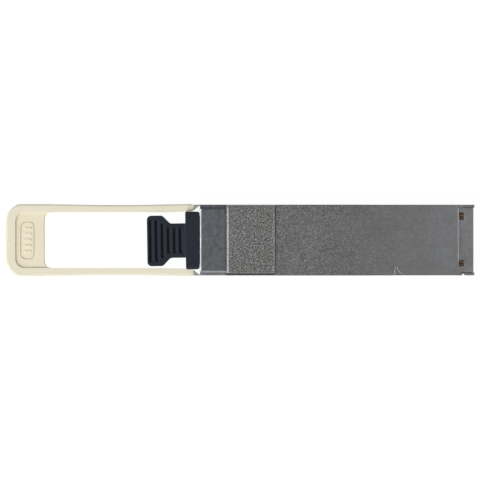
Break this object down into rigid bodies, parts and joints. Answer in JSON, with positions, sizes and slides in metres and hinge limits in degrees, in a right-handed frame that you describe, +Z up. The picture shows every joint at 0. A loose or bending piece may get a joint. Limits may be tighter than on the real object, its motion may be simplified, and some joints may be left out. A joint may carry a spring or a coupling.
{
  "type": "optical transceiver module",
  "caption": "Pluggable optical transceiver module with a die-cast shell, a loop pull tab that works a release slider, and a dust plug in its fibre port.",
  "frame": {"origin": "on the underside, in the middle of the width, straight below the stop shoulder", "axes": "+X towards the card edge, -X towards the pull tab, +Z up out of the heat-sink face, +Y across the width"},
  "size_m": [0.1215, 0.0188, 0.0092],
  "materials": {
    "shell_dark": "satin plated zinc casting",
    "shell_light": "blasted and plated zinc casting, fine sparkle",
    "screw_steel": "plated steel",
    "label_film": "satin film, blank",
    "slider_steel": "rolled stainless sheet",
    "tab_plastic": "satin moulded elastomer, beige",
    "spring_steel": "drawn spring wire",
    "plug_plastic": "satin moulded plastic, blue-black",
    "port_plastic": "moulded plastic",
    "ferrule_plastic": "polished filled plastic",
    "pin_steel": "ground steel",
    "ribbon_coating": "glossy fibre ribbon",
    "gasket_foam": "conductive foam",
    "board": "solder mask over glass laminate",
    "lens_plastic": "clear amber optical plastic",
    "die": "bare polished die",
    "chip_plastic": "moulded package",
    "ferrite": "pressed ferrite",
    "thermal_pad": "filled silicone"
  },
  "bodies": {
    "housing": {"base_housing": "shell_dark", "top_cover": "shell_light", "cover_screw_left": "screw_steel", "cover_screw_right": "screw_steel", "bottom_label": "label_film", "return_spring_left": "spring_steel", "return_spring_right": "spring_steel", "port_insert": "port_plastic", "mt_ferrule": "ferrule_plastic", "guide_pin_left": "pin_steel", "guide_pin_right": "pin_steel", "pin_keeper": "pin_steel", "fibre_ribbon": "ribbon_coating", "shield_gasket": "gasket_foam", "circuit_board": "board", "lens_block": "lens_plastic", "laser_array": "die", "photodiode_array": "die", "laser_driver_chip": "die", "receiver_amplifier_chip": "die", "tx_retimer_chip": "chip_plastic", "rx_retimer_chip": "chip_plastic", "microcontroller": "chip_plastic", "power_inductor_front": "ferrite", "power_inductor_rear": "ferrite", "thermal_pad_top": "thermal_pad", "thermal_pad_bottom": "thermal_pad"},
    "puller": {"pull_slider": "slider_steel", "pull_tab": "tab_plastic"},
    "plug": {"dust_plug": "plug_plastic"},
    "left_hook": {"latch_hook_left": "port_plastic"},
    "right_hook": {"latch_hook_right": "port_plastic"}
  },
  "joints": [
    {"name": "tab_pull", "type": "slide", "parent": "housing", "child": "puller", "axis": [-1, 0, 0], "range_m": [0, 0.003], "stiffness_N_per_m": 600, "springref_m": -0.004, "deforming": ["return_spring_left", "return_spring_right"]},
    {"name": "plug_out", "type": "slide", "parent": "housing", "child": "plug", "axis": [-1, 0, 0], "range_m": [0, 0.012]},
    {"name": "left_hook_spread", "type": "hinge", "parent": "housing", "child": "left_hook", "pos_m": [-0.0083, 0.0055, 0.0045], "axis": [0, 0, -1], "range_deg": [0, 3], "stiffness_Nm_per_rad": 0.05},
    {"name": "right_hook_spread", "type": "hinge", "parent": "housing", "child": "right_hook", "pos_m": [-0.0083, -0.0055, 0.0045], "axis": [0, 0, 1], "range_deg": [0, 3], "stiffness_Nm_per_rad": 0.05}
  ]
}
